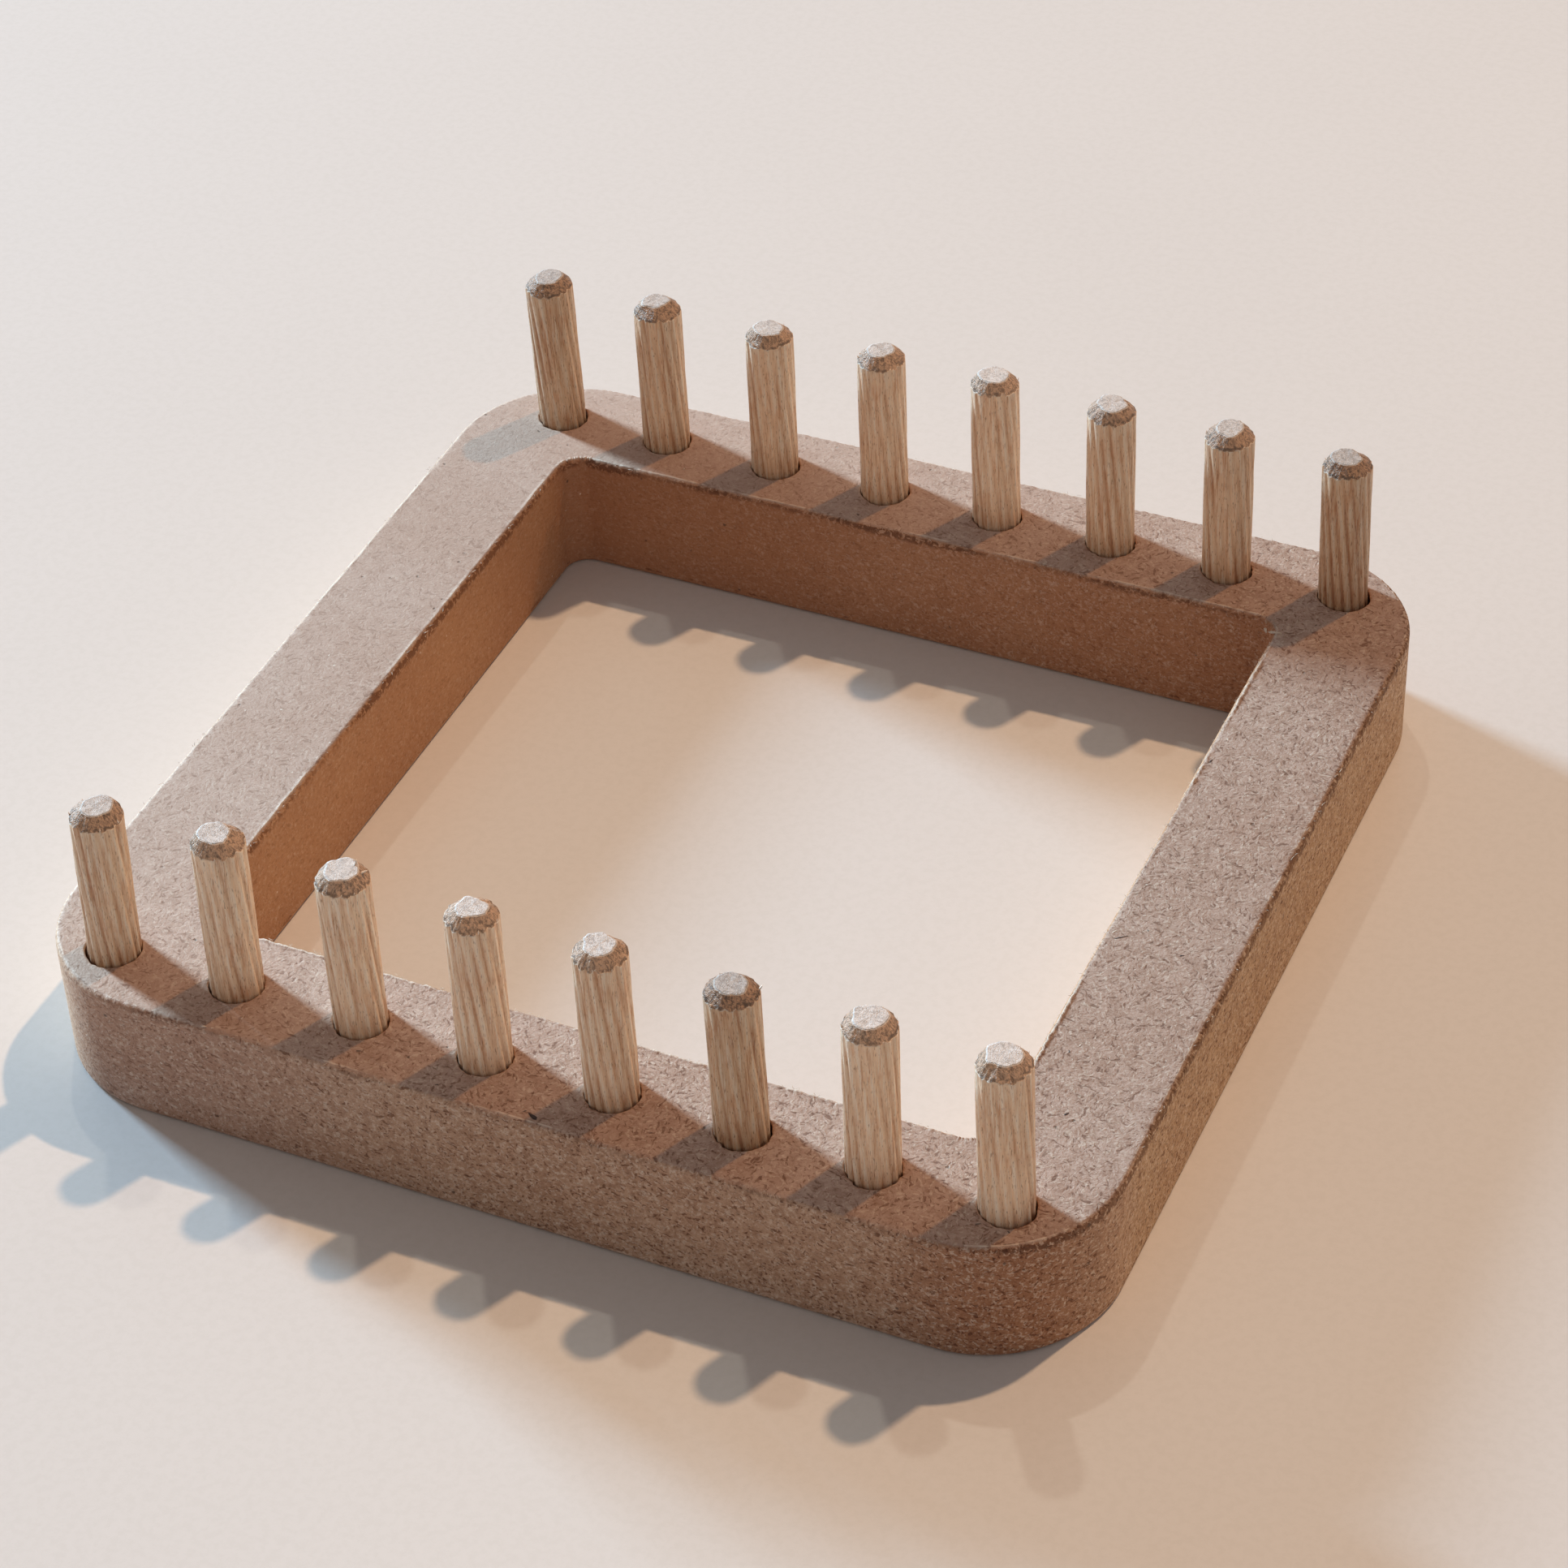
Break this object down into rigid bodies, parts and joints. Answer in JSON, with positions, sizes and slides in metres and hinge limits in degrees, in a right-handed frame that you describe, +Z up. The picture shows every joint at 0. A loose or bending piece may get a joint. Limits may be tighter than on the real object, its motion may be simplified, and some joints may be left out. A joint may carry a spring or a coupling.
{
  "type": "blocking board",
  "caption": "Open square fibreboard frame with a row of fluted wooden dowel pegs standing loose in drilled holes along two facing rails.",
  "frame": {"origin": "middle of the frame's flat underside", "axes": "+Z up along the pegs, +X along the rows of pegs, +Y towards the far row"},
  "size_m": [0.1254, 0.1254, 0.0378],
  "materials": {
    "fibreboard": "raw medium-density fibreboard, pale flecked face, browner machined edges",
    "peg_wood": "raw pale hardwood, fluted, open grain with fine streaks"
  },
  "bodies": {
    "frame": {"board_frame": "fibreboard"},
    "near_peg_1": {"near_peg_1": "peg_wood"},
    "near_peg_2": {"near_peg_2": "peg_wood"},
    "near_peg_3": {"near_peg_3": "peg_wood"},
    "near_peg_4": {"near_peg_4": "peg_wood"},
    "near_peg_5": {"near_peg_5": "peg_wood"},
    "near_peg_6": {"near_peg_6": "peg_wood"},
    "near_peg_7": {"near_peg_7": "peg_wood"},
    "near_peg_8": {"near_peg_8": "peg_wood"},
    "far_peg_1": {"far_peg_1": "peg_wood"},
    "far_peg_2": {"far_peg_2": "peg_wood"},
    "far_peg_3": {"far_peg_3": "peg_wood"},
    "far_peg_4": {"far_peg_4": "peg_wood"},
    "far_peg_5": {"far_peg_5": "peg_wood"},
    "far_peg_6": {"far_peg_6": "peg_wood"},
    "far_peg_7": {"far_peg_7": "peg_wood"},
    "far_peg_8": {"far_peg_8": "peg_wood"}
  },
  "joints": [
    {"name": "near_peg_1_pull", "type": "slide", "parent": "frame", "child": "near_peg_1", "axis": [0, 0, 1], "range_m": [0, 0.012]},
    {"name": "near_peg_2_pull", "type": "slide", "parent": "frame", "child": "near_peg_2", "axis": [0, 0, 1], "range_m": [0, 0.012]},
    {"name": "near_peg_3_pull", "type": "slide", "parent": "frame", "child": "near_peg_3", "axis": [0, 0, 1], "range_m": [0, 0.012]},
    {"name": "near_peg_4_pull", "type": "slide", "parent": "frame", "child": "near_peg_4", "axis": [0, 0, 1], "range_m": [0, 0.012]},
    {"name": "near_peg_5_pull", "type": "slide", "parent": "frame", "child": "near_peg_5", "axis": [0, 0, 1], "range_m": [0, 0.012]},
    {"name": "near_peg_6_pull", "type": "slide", "parent": "frame", "child": "near_peg_6", "axis": [0, 0, 1], "range_m": [0, 0.012]},
    {"name": "near_peg_7_pull", "type": "slide", "parent": "frame", "child": "near_peg_7", "axis": [0, 0, 1], "range_m": [0, 0.012]},
    {"name": "near_peg_8_pull", "type": "slide", "parent": "frame", "child": "near_peg_8", "axis": [0, 0, 1], "range_m": [0, 0.012]},
    {"name": "far_peg_1_pull", "type": "slide", "parent": "frame", "child": "far_peg_1", "axis": [0, 0, 1], "range_m": [0, 0.012]},
    {"name": "far_peg_2_pull", "type": "slide", "parent": "frame", "child": "far_peg_2", "axis": [0, 0, 1], "range_m": [0, 0.012]},
    {"name": "far_peg_3_pull", "type": "slide", "parent": "frame", "child": "far_peg_3", "axis": [0, 0, 1], "range_m": [0, 0.012]},
    {"name": "far_peg_4_pull", "type": "slide", "parent": "frame", "child": "far_peg_4", "axis": [0, 0, 1], "range_m": [0, 0.012]},
    {"name": "far_peg_5_pull", "type": "slide", "parent": "frame", "child": "far_peg_5", "axis": [0, 0, 1], "range_m": [0, 0.012]},
    {"name": "far_peg_6_pull", "type": "slide", "parent": "frame", "child": "far_peg_6", "axis": [0, 0, 1], "range_m": [0, 0.012]},
    {"name": "far_peg_7_pull", "type": "slide", "parent": "frame", "child": "far_peg_7", "axis": [0, 0, 1], "range_m": [0, 0.012]},
    {"name": "far_peg_8_pull", "type": "slide", "parent": "frame", "child": "far_peg_8", "axis": [0, 0, 1], "range_m": [0, 0.012]}
  ]
}
